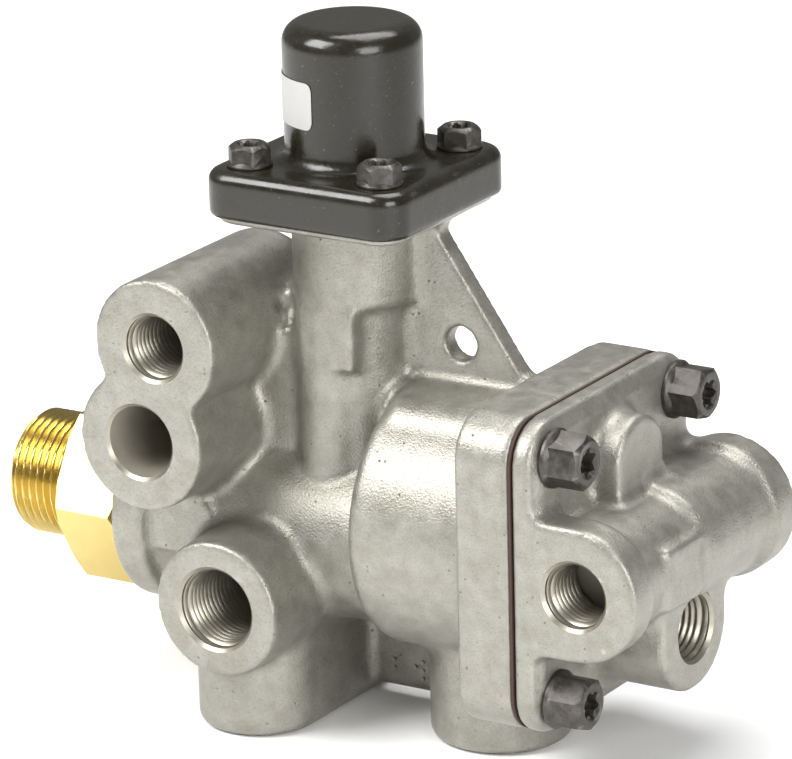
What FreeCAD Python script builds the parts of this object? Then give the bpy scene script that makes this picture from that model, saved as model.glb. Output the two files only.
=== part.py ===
import FreeCAD, Part
import os
import re
import sys

# Spring brake valve, in millimetres.
# The origin is on the axis of the reservoir nipple, at the shoulder between its thread and its hexagon.
# +X runs from the nipple to the end cover, +Y to the back, +Z up to the spring cap.

Vector = FreeCAD.Vector
Rotation = FreeCAD.Rotation
Placement = FreeCAD.Placement

# Driving dimensions: each line is a cell of the sheet
SIZES = {
    # Play between pieces
    "thread_play": 0.05,
    "fit_play": 0.03,
    "coil_play": 0.05,
    "slide_play": 0.3,
    # Reservoir nipple, 3/4 inch taper pipe thread
    "nipple_r": 13.45,
    "nipple_thread": 13.5,
    "hexagon_start": 3.0,
    "hexagon_flat": 36.0,
    "hexagon_end": 18.5,
    "hexagon_bevel": 2.2,
    "nipple_shank": 14.5,
    "nipple_bore_r": 8.5,
    # Left barrel of the housing
    "ring_r": 22.0,
    "ring_width": 8.0,
    "barrel_r": 19.0,
    # Main barrel and its flange
    "axis_z": 6.7,
    "main_r": 28.0,
    "main_start": 80.0,
    "main_round": 3.5,
    "flange_start": 109.3,
    "flange_width": 12.7,
    "plate_half": 32.5,
    "plate_round": 9.0,
    "ridge_r": 7.5,
    "ridge_y": -9.0,
    "ridge_z": 26.5,
    "ridge_start": 82.0,
    "ridge_round": 3.0,
    # Column, neck and cap seat
    "column_x": 68.0,
    "column_r": 11.0,
    "column_rib_r": 8.2,
    "column_rib_x": -2.5,
    "column_rib_y": -5.0,
    "neck_r": 13.5,
    "neck_bottom": 51.2,
    "seat_z": 70.2,
    "rim_side": 45.4,
    "rim_thick": 1.6,
    "rim_round": 5.5,
    "pad_side": 40.0,
    "pad_height": 5.6,
    # Mounting web
    "web_thick": 5.4,
    "web_front": 0.6,
    "web_top_reach": 16.4,
    "web_foot_reach": 40.8,
    "web_foot_z": 34.0,
    "web_hole_r": 3.55,
    "web_hole_x": 91.6,
    "web_hole_z": 43.1,
    # Twin bosses on the left
    "face_y": -34.0,
    "twin_back": 12.0,
    "twin_round": 4.0,
    "upper_x": 39.5,
    "upper_z": 44.3,
    "upper_r": 14.5,
    "lower_x": 35.3,
    "lower_z": 23.5,
    "lower_r": 14.8,
    "waist_width": 21.0,
    "waist_round": 4.0,
    "lower_bore_r": 7.65,
    "lower_bore_depth": 34.0,
    "link_half": 9.5,
    "link_bottom": 10.0,
    "link_top": 43.5,
    # Delivery boss and pod
    "delivery_x": 52.5,
    "delivery_z": -10.0,
    "delivery_r": 14.5,
    "delivery_root_r": 16.5,
    "delivery_back": 18.0,
    "pod_x": 51.9,
    "pod_r": 13.2,
    "pod_reach": 16.4,
    "base_z": -39.5,
    "base_round": 2.5,
    # Exhaust boss and the rib beside it
    "exhaust_x": 100.5,
    "exhaust_r": 14.9,
    "exhaust_bore_r": 7.0,
    "exhaust_mouth_r": 11.0,
    "exhaust_mouth": 6.0,
    "rib_front": 5.0,
    "rib_thick": 6.0,
    "rib_bottom": -36.6,
    # Threaded ports
    "quarter_r": 6.86,
    "quarter_drill_r": 5.4,
    "quarter_depth": 14.0,
    "eighths_r": 8.57,
    "eighths_drill_r": 7.0,
    "eighths_depth": 15.0,
    "drill_depth": 30.0,
    "mouth_chamfer": 0.6,
    "mouth_clear": 3.0,
    # Spring cap
    "cap_side": 47.0,
    "cap_corner": 6.5,
    "cap_skirt": 10.0,
    "cap_edge": 2.6,
    "dome_r": 14.4,
    "dome_wall": 2.8,
    "dome_top": 108.9,
    "dome_round": 4.2,
    "dome_foot": 2.2,
    "cap_pitch": 31.0,
    # Cap screws
    "small_shank_r": 2.5,
    "small_flat": 8.0,
    "small_head": 3.7,
    "small_washer_r": 4.7,
    "small_washer": 0.9,
    "small_length": 9.0,
    # End cover
    "gasket_thick": 0.5,
    "cover_plate": 4.4,
    "cover_face": 1.4,
    "cover_step": 2.2,
    "cover_pitch_y": 49.5,
    "cover_pitch_z": 51.0,
    "tube_x": 136.7,
    "tube_r": 12.0,
    "tube_boss_r": 14.2,
    "tube_boss_width": 8.0,
    "tube_big_r": 13.4,
    "tube_big_start": 0.0,
    "tube_rim_r": 14.7,
    "tube_rim_start": 26.0,
    "tube_back": 34.5,
    "supply_y": 0.8,
    "supply_z": -9.0,
    "supply_r": 13.3,
    "supply_face": 146.0,
    "arch_r": 9.5,
    "arch_y": -1.0,
    "arch_z": 25.5,
    "arch_face": 135.0,
    # Cover screws
    "large_shank_r": 3.0,
    "large_flat": 10.0,
    "large_head": 6.6,
    "large_washer_r": 6.1,
    "large_washer": 1.4,
    "large_length": 16.0,
    # Control piston and inlet valve on the main axis
    "piston_bore_r": 20.0,
    "piston_floor": 98.0,
    "piston_width": 8.0,
    "piston_rest": 120.0,
    "stem_r": 5.0,
    "stem_hole_r": 2.8,
    "stem_tip": 86.2,
    "guide_r": 12.0,
    "guide_start": 84.0,
    "guide_flange_r": 14.5,
    "guide_flange": 2.0,
    "chamber_r": 9.0,
    "chamber_start": 60.0,
    "valve_r": 7.6,
    "valve_width": 4.0,
    "valve_nose_r": 4.0,
    "valve_nose": 6.0,
    "ring_section": 1.2,
    "return_spring_r": 15.5,
    "return_wire": 2.0,
    "inlet_spring_r": 6.2,
    "inlet_wire": 1.2,
    # Protection piston under the cap
    "guard_bore_r": 10.5,
    "guard_floor": 54.5,
    "guard_height": 11.0,
    "guard_nose_r": 7.2,
    "guard_nose": 3.0,
    "guard_spring_r": 7.4,
    "guard_wire": 2.2,
    "washer_r": 11.0,
    "washer_thick": 1.5,
    "column_hole_r": 4.0,
    # Shuttle in the end cover
    "shuttle_r": 8.5,
    "shuttle_width": 10.0,
    "shuttle_play": 4.0,
    "shuttle_seat": -8.0,
    "plug_r": 11.0,
    "plug_end": 31.0,
    "circlip_thick": 1.2,
    # Exhaust flap
    "flap_r": 10.2,
    "flap_thick": 1.2,
    "flap_pin_r": 1.6,
}

doc = FreeCAD.newDocument("spring_brake_valve")
sheet = doc.addObject("Spreadsheet::Sheet", "Sizes")
for row, (alias, value) in enumerate(SIZES.items(), start=1):
    sheet.set(f"A{row}", alias)
    sheet.set(f"B{row}", str(value))
    sheet.setAlias(f"B{row}", alias)
doc.recompute()

ALONG = {
    "x": Rotation(Vector(0, 1, 0), 90),
    "y": Rotation(Vector(1, 0, 0), -90),
    "z": Rotation(),
    "-x": Rotation(Vector(0, 1, 0), -90),
    "-y": Rotation(Vector(1, 0, 0), 90),
}
PLUG_START = "(shuttle_seat + shuttle_width + shuttle_play + 2 * slide_play)"
pieces = []


def cells(text):
    """Write a formula of cell names as references to the sheet."""
    return re.sub(r"[a-z]\w+", lambda found: "Sizes." + found.group(0), str(text))


def size(formula):
    """Work out a formula of cell names as a number."""
    return float(sheet.evalExpression(cells(formula)))


def bind(thing, **formulas):
    """Tie properties of an object to formulas of the sheet."""
    for name, formula in formulas.items():
        thing.setExpression(name, cells(formula))
    return thing


def place(thing, at, along="z"):
    """Put an object at a point given by formulas, turned to an axis."""
    thing.Placement = Placement(Vector(), ALONG[along])
    for axis, formula in zip("xyz", at):
        thing.setExpression("Placement.Base." + axis, cells(formula))
    return thing


def cylinder(name, radius, length, at, along="z"):
    """A round bar that starts at a point and runs along an axis."""
    bar = doc.addObject("Part::Cylinder", name)
    bind(bar, Radius=radius, Height=length)
    return place(bar, at, along)


def cone(name, radius, end_radius, length, at, along="z"):
    """A tapered bar that starts at a point and runs along an axis."""
    bar = doc.addObject("Part::Cone", name)
    bind(bar, Radius1=radius, Radius2=end_radius, Height=length)
    return place(bar, at, along)


def box(name, lengths, at):
    """A block with its lowest corner at a point."""
    block = doc.addObject("Part::Box", name)
    bind(block, Length=lengths[0], Width=lengths[1], Height=lengths[2])
    return place(block, at)


def hexagon(name, flat, length, at, along="z", turn=0):
    """A six-sided bar, its size given across flats."""
    bar = doc.addObject("Part::Prism", name)
    bar.Polygon = 6
    bind(bar, Circumradius=f"({flat}) / 1.7320508", Height=length)
    place(bar, at, along)
    bar.Placement.Rotation = ALONG[along].multiply(Rotation(Vector(0, 0, 1), turn))
    return bar


def torus(name, radius, section, at, along="z"):
    """A ring of round section."""
    ring = doc.addObject("Part::Torus", name)
    bind(ring, Radius1=radius, Radius2=section)
    return place(ring, at, along)


def chain(kind, name, base, tools):
    """Apply one boolean after another, and clear the seams on flat faces at the end."""
    whole = base
    for number, tool in enumerate(tools, start=1):
        step = doc.addObject(kind, f"{name}_{number}")
        step.Base = whole
        step.Tool = tool
        step.Refine = number == len(tools)
        whole = step
    return whole


def fuse(name, base, *things):
    """Join objects to one solid."""
    return chain("Part::Fuse", name, base, things)


def cut(name, base, *tools):
    """Take objects away from a solid."""
    return chain("Part::Cut", name, base, tools)


def group(name, *things):
    """Keep like solids together as one object."""
    bunch = doc.addObject("Part::Compound", name)
    bunch.Links = list(things)
    return bunch


def dress(kind, name, base, formula, wanted):
    """Round or chamfer the edges of a solid that a test picks."""
    doc.recompute()
    amount = size(formula)
    edges = [
        (number, amount, amount)
        for number, edge in enumerate(base.Shape.Edges, start=1)
        if wanted(edge)
    ]
    done = doc.addObject(kind, name)
    done.Base = base
    done.Edges = edges
    return done


def rounded(name, base, formula, wanted):
    """Round the picked edges."""
    return dress("Part::Fillet", name, base, formula, wanted)


def bevelled(name, base, formula, wanted):
    """Chamfer the picked edges."""
    return dress("Part::Chamfer", name, base, formula, wanted)


def near(value, formula):
    """Whether a number equals a formula of the sheet."""
    return abs(value - size(formula)) < 0.01


def lies(edge, axis, formula):
    """Whether an edge lies in the plane where a coordinate has a value."""
    low = getattr(edge.BoundBox, axis + "Min")
    high = getattr(edge.BoundBox, axis + "Max")
    return near(low, formula) and near(high, formula)


def runs(edge, axis):
    """Whether an edge is straight and runs along an axis."""
    if edge.Curve.TypeId != "Part::GeomLine":
        return False
    return abs(abs(getattr(edge.Curve.Direction, axis)) - 1) < 1e-6


def piece(thing, label):
    """Name an object as one finished piece of the valve."""
    thing.Label = label
    pieces.append(thing)
    return thing


def spring(name, radius, wire, turns, height, at, along):
    """A coil spring of round wire, a little clear of the two planes it stands between."""
    mean = size(radius)
    thick = size(wire)
    rise = size(height) - thick - 2 * size("coil_play")
    coil = Part.makeHelix(rise / turns, rise, mean)
    centre = Vector(mean, 0, thick / 2 + size("coil_play"))
    section = Part.Wire(Part.makeCircle(thick / 2, centre, Vector(0, 1, 0)))
    body = doc.addObject("Part::Feature", name)
    body.Shape = Part.Wire(coil).makePipeShell([section], True, True)
    body.Placement = Placement(Vector(*(size(part) for part in at)), ALONG[along])
    return body


def screws(name, pitch_a, pitch_b, spot, along, prefix):
    """Four equal hexagon screws with washer faces, at the corners of a rectangle."""
    built = []
    for number, (a, b) in enumerate([(-1, -1), (1, -1), (-1, 1), (1, 1)], start=1):
        at = spot(f"({a} * {pitch_a} / 2)", f"({b} * {pitch_b} / 2)")
        tag = f"{name}_{number}"
        washer = cylinder(tag + "_washer", prefix + "_washer_r", prefix + "_washer", at, along)
        depth = -1 if along == "z" else 1
        shank_at = list(at)
        lift = 2 if along == "z" else 0
        shank_at[lift] = f"{at[lift]} - {prefix}_length"
        shank = cylinder(tag + "_shank", prefix + "_shank_r", prefix + "_length", shank_at, along)
        head_at = list(at)
        head_at[lift] = f"{at[lift]} + {prefix}_washer"
        head = hexagon(tag + "_hex", prefix + "_flat", prefix + "_head", head_at, along)
        top_at = list(at)
        top_at[lift] = f"{at[lift]} + {prefix}_washer + {prefix}_head * 0.45"
        recess = hexagon(
            tag + "_recess", f"{prefix}_flat * 0.52", f"{prefix}_head", top_at, along, 30
        )
        crown = cylinder(tag + "_crown", f"{prefix}_flat * 0.545", prefix + "_head", head_at, along)
        trimmed = doc.addObject("Part::Common", tag + "_trimmed")
        trimmed.Base = head
        trimmed.Tool = crown
        solid = fuse(tag + "_blank", washer, shank, trimmed)
        built.append(cut(tag, solid, recess))
    return group(name, *built)


def port(name, radius, drill, depth, at, along, total="drill_depth"):
    """A threaded port: clear space before its face, mouth bevel, thread bore and drilled way."""
    spot = {"y": (0, -1, 0), "-x": (1, 0, 0)}[along]
    before = [f"{part} + {step} * mouth_clear" for part, step in zip(at, spot)]
    clear = cylinder(name + "_clear", f"{radius} + mouth_chamfer", "mouth_clear", before, along)
    mouth = cone(name + "_mouth", f"{radius} + mouth_chamfer", radius, "mouth_chamfer", at, along)
    thread = cylinder(name + "_thread", radius, depth, at, along)
    way = cylinder(name + "_way", drill, total, at, along)
    return [clear, mouth, thread, way]


def housing():
    """The die-cast housing with all its bores."""
    barrel = cylinder(
        "left_barrel", "barrel_r", "main_start - hexagon_end + 10", ("hexagon_end", 0, 0), "x"
    )
    ring = cylinder("left_ring", "ring_r", "ring_width", ("hexagon_end", 0, 0), "x")
    main = cylinder(
        "main_barrel",
        "main_r",
        "flange_start - main_start + 2",
        ("main_start", 0, "axis_z"),
        "x",
    )
    main = rounded("main_barrel_end", main, "main_round", lambda e: lies(e, "X", "main_start"))
    flange = box(
        "cover_flange",
        ("flange_width", "2 * plate_half", "2 * plate_half + 1"),
        ("flange_start", "-plate_half", "axis_z - plate_half - 0.5"),
    )
    flange = rounded("cover_flange_corners", flange, "plate_round", lambda e: runs(e, "x"))
    ridge = cylinder(
        "ridge", "ridge_r", "flange_start - ridge_start + 2", ("ridge_start", "ridge_y", "ridge_z"), "x"
    )
    ridge = rounded("ridge_end", ridge, "ridge_round", lambda e: lies(e, "X", "ridge_start"))
    ridge_top = box(
        "ridge_top",
        ("flange_start - ridge_start", "web_front - ridge_y + web_thick", "ridge_r + 0.5"),
        ("ridge_start + ridge_round", "ridge_y", "ridge_z - 0.5"),
    )
    exhaust = cylinder("exhaust_boss", "exhaust_r", "axis_z - base_z", ("exhaust_x", 0, "base_z"))
    exhaust = rounded("exhaust_foot", exhaust, "base_round", lambda e: lies(e, "Z", "base_z"))
    pod = fuse(
        "pod_blank",
        cylinder("pod_front", "pod_r", "-base_z - 2", ("pod_x", "-pod_reach", "base_z")),
        cylinder("pod_rear", "pod_r", "-base_z - 2", ("pod_x", "pod_reach", "base_z")),
        box(
            "pod_middle",
            ("2 * pod_r", "2 * pod_reach", "-base_z - 2"),
            ("pod_x - pod_r", "-pod_reach", "base_z"),
        ),
    )
    pod = rounded("pod", pod, "base_round", lambda e: lies(e, "Z", "base_z"))
    delivery = cone(
        "delivery_boss",
        "delivery_r",
        "delivery_root_r",
        "delivery_back - face_y",
        ("delivery_x", "face_y", "delivery_z"),
        "y",
    )
    delivery = rounded("delivery_rear", delivery, "waist_round", lambda e: lies(e, "Y", "delivery_back"))
    rib = box(
        "foot_rib",
        ("exhaust_x - pod_x", "rib_thick", "-rib_bottom - 3"),
        ("pod_x", "rib_front", "rib_bottom"),
    )
    column = cylinder("column", "column_r", "neck_bottom - 8 + 1", ("column_x", 0, 8))
    column_rib = cylinder(
        "column_rib",
        "column_rib_r",
        "neck_bottom - 5 + 1",
        ("column_x + column_rib_x", "column_rib_y", 5),
    )
    neck = cylinder("neck", "neck_r", "seat_z - neck_bottom", ("column_x", 0, "neck_bottom"))
    rim = box(
        "cap_rim",
        ("rim_side", "rim_side", "rim_thick"),
        ("column_x - rim_side / 2", "-rim_side / 2", "seat_z - rim_thick"),
    )
    rim = rounded("cap_rim_corners", rim, "rim_round", lambda e: runs(e, "z"))
    pad = box(
        "cap_pad",
        ("pad_side", "pad_side", "pad_height + rim_thick"),
        ("column_x - pad_side / 2", "-pad_side / 2", "seat_z - rim_thick"),
    )
    pad = rounded("cap_pad_corners", pad, "rim_round - 2", lambda e: runs(e, "z"))
    web = doc.addObject("Part::Wedge", "mounting_web")
    bind(
        web,
        Xmin="0",
        Xmax="web_foot_reach",
        Ymin="web_foot_z",
        Ymax="seat_z - rim_thick + 0.5",
        Zmin="-web_thick / 2",
        Zmax="web_thick / 2",
        X2min="0",
        X2max="web_top_reach",
        Z2min="-web_thick / 2",
        Z2max="web_thick / 2",
    )
    place(web, ("column_x", "web_front + web_thick / 2", 0), "-y")
    upper = cylinder("upper_boss", "upper_r", "twin_back - face_y", ("upper_x", "face_y", "upper_z"), "y")
    lower = cylinder("lower_boss", "lower_r", "twin_back - face_y", ("lower_x", "face_y", "lower_z"), "y")
    twins = fuse(
        "twin_blank",
        rounded("upper_boss_end", upper, "twin_round", lambda e: lies(e, "Y", "twin_back")),
        rounded("lower_boss_end", lower, "twin_round", lambda e: lies(e, "Y", "twin_back")),
        box(
            "waist",
            ("waist_width", "twin_back - face_y - twin_round", "upper_z - lower_z"),
            ("(upper_x + lower_x - waist_width) / 2", "face_y", "lower_z"),
        ),
    )
    link = box(
        "twin_link",
        ("column_x - upper_x", "2 * link_half", "link_top - link_bottom"),
        ("upper_x", "-link_half", "link_bottom"),
    )
    solid = fuse(
        "housing_blank",
        barrel,
        ring,
        main,
        flange,
        ridge,
        ridge_top,
        exhaust,
        pod,
        delivery,
        rib,
        column,
        column_rib,
        neck,
        rim,
        pad,
        web,
        twins,
        link,
    )
    bores = [
        cylinder(
            "nipple_bore",
            "nipple_r + thread_play",
            "nipple_shank + slide_play",
            ("hexagon_end", 0, 0),
            "x",
        ),
        cylinder(
            "supply_way", "nipple_bore_r", "chamber_start - hexagon_end + 1", ("hexagon_end", 0, 0), "x"
        ),
        cylinder(
            "valve_chamber",
            "chamber_r",
            "guide_start - chamber_start + 1",
            ("chamber_start", 0, "axis_z"),
            "x",
        ),
        cylinder(
            "guide_bore",
            "guide_r + fit_play",
            "piston_floor - guide_start + 1",
            ("guide_start", 0, "axis_z"),
            "x",
        ),
        cylinder(
            "guide_seat",
            "guide_flange_r + slide_play",
            "guide_flange + 1",
            ("piston_floor - guide_flange", 0, "axis_z"),
            "x",
        ),
        cylinder(
            "piston_bore",
            "piston_bore_r",
            "flange_start + flange_width - piston_floor + 1",
            ("piston_floor", 0, "axis_z"),
            "x",
        ),
        cylinder(
            "exhaust_way", "exhaust_bore_r", "axis_z - base_z - 12", ("exhaust_x", 0, "base_z")
        ),
        cylinder("exhaust_mouth", "exhaust_mouth_r", "exhaust_mouth", ("exhaust_x", 0, "base_z")),
        cylinder(
            "guard_bore",
            "guard_bore_r",
            "seat_z + pad_height - guard_floor + 1",
            ("column_x", 0, "guard_floor"),
        ),
        cylinder(
            "column_way", "column_hole_r", "guard_floor - axis_z + 1", ("column_x", 0, "axis_z")
        ),
        cylinder("web_hole", "web_hole_r", "web_thick + 2", ("web_hole_x", "web_front - 1", "web_hole_z"), "y"),
        cylinder("lower_bore", "lower_bore_r", "lower_bore_depth", ("lower_x", "face_y", "lower_z"), "y"),
    ]
    bores += port(
        "upper_port", "quarter_r", "quarter_drill_r", "quarter_depth", ("upper_x", "face_y", "upper_z"), "y"
    )
    bores += port(
        "delivery_port",
        "eighths_r",
        "eighths_drill_r",
        "eighths_depth",
        ("delivery_x", "face_y", "delivery_z"),
        "y",
        "drill_depth - 6",
    )
    for number, (a, b) in enumerate([(-1, -1), (1, -1), (-1, 1), (1, 1)], start=1):
        bores.append(
            cylinder(
                f"cap_screw_hole_{number}",
                "small_shank_r + thread_play",
                "pad_height + 1",
                (f"column_x + {a} * cap_pitch / 2", f"{b} * cap_pitch / 2", "seat_z"),
            )
        )
        bores.append(
            cylinder(
                f"cover_screw_hole_{number}",
                "large_shank_r + thread_play",
                "flange_width - 1",
                (
                    "flange_start + 1.5",
                    f"{a} * cover_pitch_y / 2",
                    f"axis_z + {b} * cover_pitch_z / 2",
                ),
                "x",
            )
        )
    return piece(cut("housing_cut", solid, *bores), "body_casting")


def cap():
    """The black spring cap: square skirted flange and round dome."""
    slab = box(
        "cap_slab",
        ("cap_side", "cap_side", "cap_skirt"),
        ("column_x - cap_side / 2", "-cap_side / 2", "seat_z"),
    )
    slab = rounded("cap_slab_corners", slab, "cap_corner", lambda e: runs(e, "z"))
    slab = rounded(
        "cap_slab_edge", slab, "cap_edge", lambda e: lies(e, "Z", "seat_z + cap_skirt")
    )
    slab = rounded("cap_slab_foot", slab, "1.0", lambda e: lies(e, "Z", "seat_z"))
    dome = cylinder(
        "dome", "dome_r", "dome_top - seat_z - pad_height", ("column_x", 0, "seat_z + pad_height")
    )
    dome = rounded("dome_crown", dome, "dome_round", lambda e: lies(e, "Z", "dome_top"))
    solid = fuse("cap_blank", slab, dome)
    solid = rounded(
        "cap_foot",
        solid,
        "dome_foot",
        lambda e: lies(e, "Z", "seat_z + cap_skirt") and e.Curve.TypeId == "Part::GeomCircle"
        and near(e.Curve.Radius, "dome_r"),
    )
    hollow = box(
        "skirt_hollow",
        ("pad_side + 2 * slide_play", "pad_side + 2 * slide_play", "pad_height"),
        ("column_x - pad_side / 2 - slide_play", "-pad_side / 2 - slide_play", "seat_z"),
    )
    room = cylinder(
        "dome_hollow",
        "dome_r - dome_wall",
        "dome_top - dome_wall - seat_z",
        ("column_x", 0, "seat_z"),
    )
    holes = [
        cylinder(
            f"cap_hole_{number}",
            "small_shank_r + slide_play",
            "cap_skirt + 2",
            (f"column_x + {a} * cap_pitch / 2", f"{b} * cap_pitch / 2", "seat_z - 1"),
        )
        for number, (a, b) in enumerate([(-1, -1), (1, -1), (-1, 1), (1, 1)], start=1)
    ]
    piece(cut("cap_cut", solid, hollow, room, *holes), "spring_cap")
    piece(
        screws(
            "cap_screw_set",
            "cap_pitch",
            "cap_pitch",
            lambda a, b: (f"column_x + {a}", b, "seat_z + cap_skirt"),
            "z",
            "small",
        ),
        "cap_screws",
    )


def nipple():
    """The brass pipe nipple: thread, hexagon and the shank hidden in the housing."""
    thread = cylinder(
        "nipple_outer", "nipple_r", "nipple_thread + hexagon_start", ("-nipple_thread", 0, 0), "x"
    )
    thread = bevelled("nipple_nose", thread, "1.2", lambda e: lies(e, "X", "-nipple_thread"))
    bar = hexagon(
        "nipple_hexagon", "hexagon_flat", "hexagon_end - hexagon_start", ("hexagon_start", 0, 0), "x"
    )
    crown = cylinder(
        "nipple_crown",
        "hexagon_flat / 2 + hexagon_bevel",
        "hexagon_end - hexagon_start",
        ("hexagon_start", 0, 0),
        "x",
    )
    crown = bevelled(
        "nipple_crown_bevel", crown, "hexagon_bevel", lambda e: lies(e, "X", "hexagon_start")
    )
    trimmed = doc.addObject("Part::Common", "nipple_trimmed")
    trimmed.Base = bar
    trimmed.Tool = crown
    shank = cylinder("nipple_inner", "nipple_r", "nipple_shank + 1", ("hexagon_end - 1", 0, 0), "x")
    solid = fuse("nipple_blank", thread, trimmed, shank)
    bore = cylinder(
        "nipple_hole",
        "nipple_bore_r",
        "nipple_thread + hexagon_end + nipple_shank + 2",
        ("-nipple_thread - 1", 0, 0),
        "x",
    )
    piece(cut("nipple_cut", solid, bore), "reservoir_nipple")


def cover():
    """The end cover with its cross tube, supply port and arch."""
    back = "flange_start + flange_width + gasket_thick"
    plate = box(
        "cover_slab",
        ("cover_plate", "2 * plate_half", "2 * plate_half + 1"),
        (back, "-plate_half", "axis_z - plate_half - 0.5"),
    )
    plate = rounded("cover_slab_corners", plate, "plate_round", lambda e: runs(e, "x"))
    face = box(
        "cover_raised",
        (
            "cover_plate + cover_face",
            "2 * plate_half - 2 * cover_step",
            "2 * plate_half + 1 - 2 * cover_step",
        ),
        (back, "-plate_half + cover_step", "axis_z - plate_half - 0.5 + cover_step"),
    )
    face = rounded("cover_raised_corners", face, "plate_round - cover_step", lambda e: runs(e, "x"))
    face = rounded(
        "cover_raised_edge",
        face,
        "cover_face * 0.8",
        lambda e: lies(e, "X", back + " + cover_plate + cover_face"),
    )
    boss = cylinder("front_boss", "tube_boss_r", "tube_boss_width", ("tube_x", "-plate_half", "axis_z"), "y")
    boss_block = box(
        "front_boss_block",
        ("tube_x - flange_start - flange_width - gasket_thick", "tube_boss_width", "2 * tube_boss_r"),
        (back, "-plate_half", "axis_z - tube_boss_r"),
    )
    tube = cylinder("cross_tube", "tube_r", "plate_half", ("tube_x", "-plate_half + 1", "axis_z"), "y")
    tube_block = box(
        "cross_tube_block",
        ("tube_x - flange_start - flange_width - gasket_thick", "plate_half", "2 * tube_r"),
        (back, "-plate_half + 1", "axis_z - tube_r"),
    )
    big = cylinder("big_tube", "tube_big_r", "tube_back - tube_big_start", ("tube_x", "tube_big_start", "axis_z"), "y")
    big_block = box(
        "big_tube_block",
        (
            "tube_x - flange_start - flange_width - gasket_thick",
            "plate_half - tube_big_start - 3",
            "2 * tube_big_r",
        ),
        (back, "tube_big_start", "axis_z - tube_big_r"),
    )
    rim = cylinder("tube_rim", "tube_rim_r", "tube_back - tube_rim_start", ("tube_x", "tube_rim_start", "axis_z"), "y")
    rim = rounded("tube_rim_edges", rim, "1.0", lambda e: lies(e, "Y", "tube_back") or lies(e, "Y", "tube_rim_start"))
    supply = cylinder(
        "supply_boss",
        "supply_r",
        "supply_face - flange_start - flange_width - gasket_thick",
        (back, "supply_y", "supply_z"),
        "x",
    )
    arch = cylinder(
        "arch",
        "arch_r",
        "arch_face - flange_start - flange_width - gasket_thick",
        (back, "arch_y", "arch_z"),
        "x",
    )
    arch_block = box(
        "arch_block",
        ("arch_face - flange_start - flange_width - gasket_thick", "2 * arch_r", "arch_z - axis_z"),
        (back, "arch_y - arch_r", "axis_z"),
    )
    solid = fuse(
        "cover_blank",
        plate,
        face,
        boss,
        boss_block,
        tube,
        tube_block,
        big,
        big_block,
        rim,
        supply,
        arch,
        arch_block,
    )
    tools = port(
        "front_port",
        "quarter_r",
        "quarter_drill_r",
        "quarter_depth",
        ("tube_x", "-plate_half", "axis_z"),
        "y",
        "plate_half + 1",
    )
    tools += port(
        "supply_port",
        "quarter_r",
        "quarter_drill_r",
        "quarter_depth - 2",
        ("supply_face", "supply_y", "supply_z"),
        "-x",
        "supply_face - flange_start",
    )
    tools += [
        cylinder(
            "shuttle_bore",
            "shuttle_r + slide_play",
            f"{PLUG_START} - shuttle_seat + 1",
            ("tube_x", "shuttle_seat", "axis_z"),
            "y",
        ),
        cylinder(
            "plug_bore",
            "plug_r + fit_play",
            f"tube_back - {PLUG_START} + 1",
            ("tube_x", PLUG_START, "axis_z"),
            "y",
        ),
        cylinder(
            "shuttle_way",
            "3.5",
            "tube_x - flange_start - flange_width",
            ("flange_start + flange_width", f"({PLUG_START} + shuttle_seat) / 2", "axis_z + 3"),
            "x",
        ),
        cylinder(
            "circlip_groove",
            "plug_r + 1.2",
            "circlip_thick + 0.1",
            ("tube_x", "plug_end", "axis_z"),
            "y",
        ),
        box(
            "seat_plane",
            ("3", "3 * plate_half", "3 * plate_half"),
            (back + " - 3", "-1.5 * plate_half", "axis_z - 1.5 * plate_half"),
        ),
    ]
    for number, (a, b) in enumerate([(-1, -1), (1, -1), (-1, 1), (1, 1)], start=1):
        tools.append(
            cylinder(
                f"cover_hole_{number}",
                "large_shank_r + slide_play",
                "cover_plate + cover_face + 2",
                (
                    back + " - 1",
                    f"{a} * cover_pitch_y / 2",
                    f"axis_z + {b} * cover_pitch_z / 2",
                ),
                "x",
            )
        )
    piece(cut("cover_cut", solid, *tools), "end_cover")
    piece(
        screws(
            "cover_screw_set",
            "cover_pitch_y",
            "cover_pitch_z",
            lambda a, b: (back + " + cover_plate + cover_face", a, f"axis_z + {b}"),
            "x",
            "large",
        ),
        "cover_screws",
    )


def gasket():
    """The thin gasket between housing and cover."""
    sheet_blank = box(
        "gasket_sheet",
        ("gasket_thick", "2 * plate_half - 0.4", "2 * plate_half + 0.6"),
        ("flange_start + flange_width", "-plate_half + 0.2", "axis_z - plate_half - 0.3"),
    )
    sheet_blank = rounded("gasket_corners", sheet_blank, "plate_round", lambda e: runs(e, "x"))
    tools = [
        cylinder(
            "gasket_window",
            "piston_bore_r",
            "gasket_thick + 2",
            ("flange_start + flange_width - 1", 0, "axis_z"),
            "x",
        )
    ]
    for number, (a, b) in enumerate([(-1, -1), (1, -1), (-1, 1), (1, 1)], start=1):
        tools.append(
            cylinder(
                f"gasket_hole_{number}",
                "large_shank_r + slide_play",
                "gasket_thick + 2",
                (
                    "flange_start + flange_width - 1",
                    f"{a} * cover_pitch_y / 2",
                    f"axis_z + {b} * cover_pitch_z / 2",
                ),
                "x",
            )
        )
    piece(cut("gasket_cut", sheet_blank, *tools), "cover_gasket")


def grooved(name, base, radius, at, along):
    """Cut a seal groove round a bar."""
    outer = cylinder(name + "_ring", f"{radius} + 1", "2 * ring_section + 0.4", at, along)
    inner = cylinder(name + "_core", f"{radius} - 2 * ring_section - 0.05", "2 * ring_section + 0.4", at, along)
    return cut(name, base, cut(name + "_band", outer, inner))


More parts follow.
